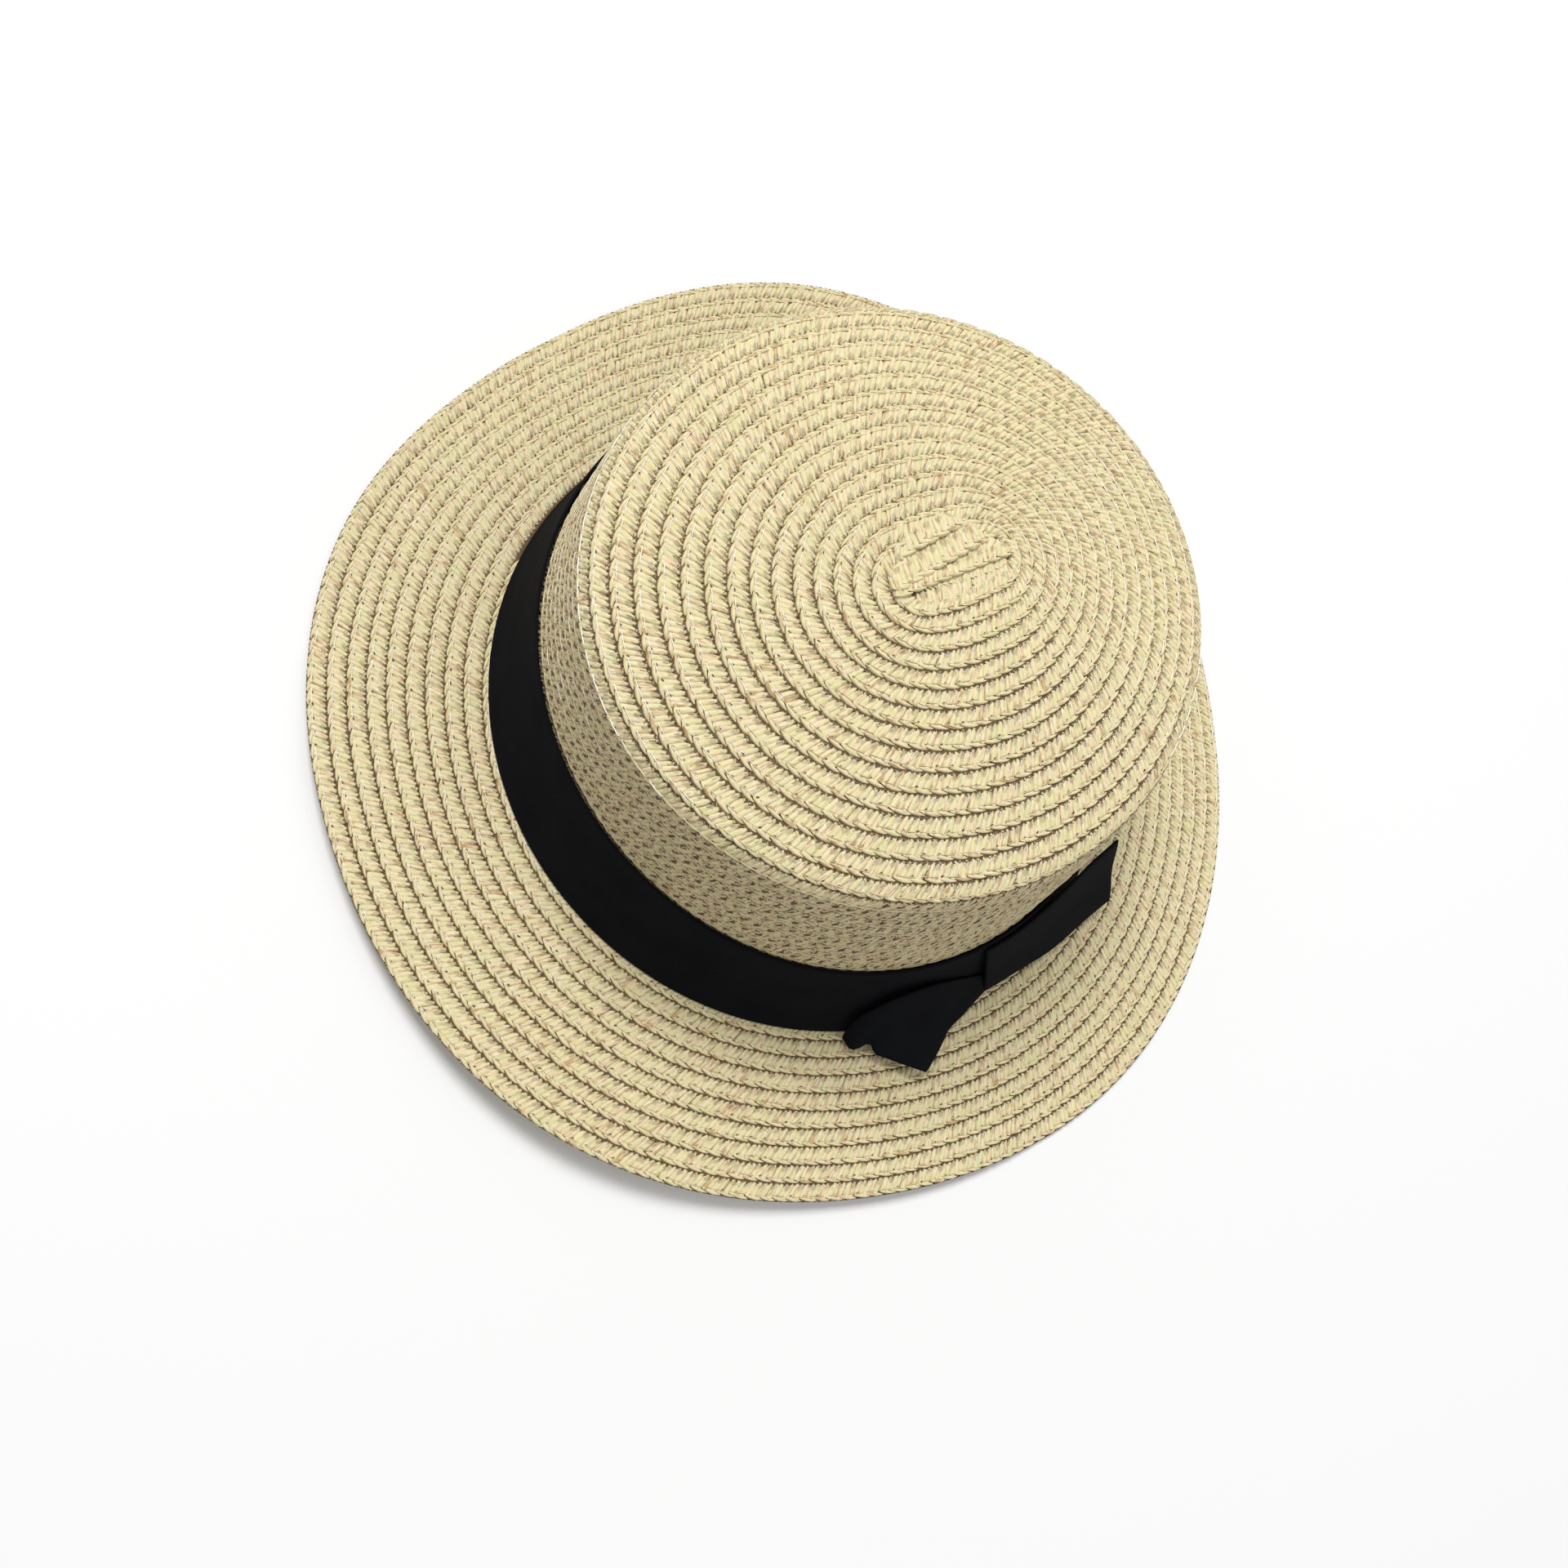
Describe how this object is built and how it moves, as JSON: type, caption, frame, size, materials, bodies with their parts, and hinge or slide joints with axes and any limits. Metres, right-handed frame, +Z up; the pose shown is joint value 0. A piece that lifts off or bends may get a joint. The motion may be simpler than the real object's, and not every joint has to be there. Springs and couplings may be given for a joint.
{
  "type": "straw hat",
  "caption": "Round straw hat with a flat-topped crown, a short wavy brim and a ribbon band tied in a flat bow at the side.",
  "frame": {"origin": "middle of the footprint, on the surface that the hat rests on", "axes": "+Z up through the crown, -Y towards the wearer's front, +X towards the wearer's left, where the bow is"},
  "size_m": [0.2838, 0.2868, 0.0896],
  "materials": {
    "straw_braid": "matt paper-straw braid in mixed pale yellow, green and pink strands",
    "ribbon": "matt black woven ribbon"
  },
  "bodies": {
    "root": {"crown": "straw_braid", "brim": "straw_braid", "hat_band": "ribbon", "bow_front_tail": "ribbon", "bow_back_tail": "ribbon"}
  },
  "joints": []
}
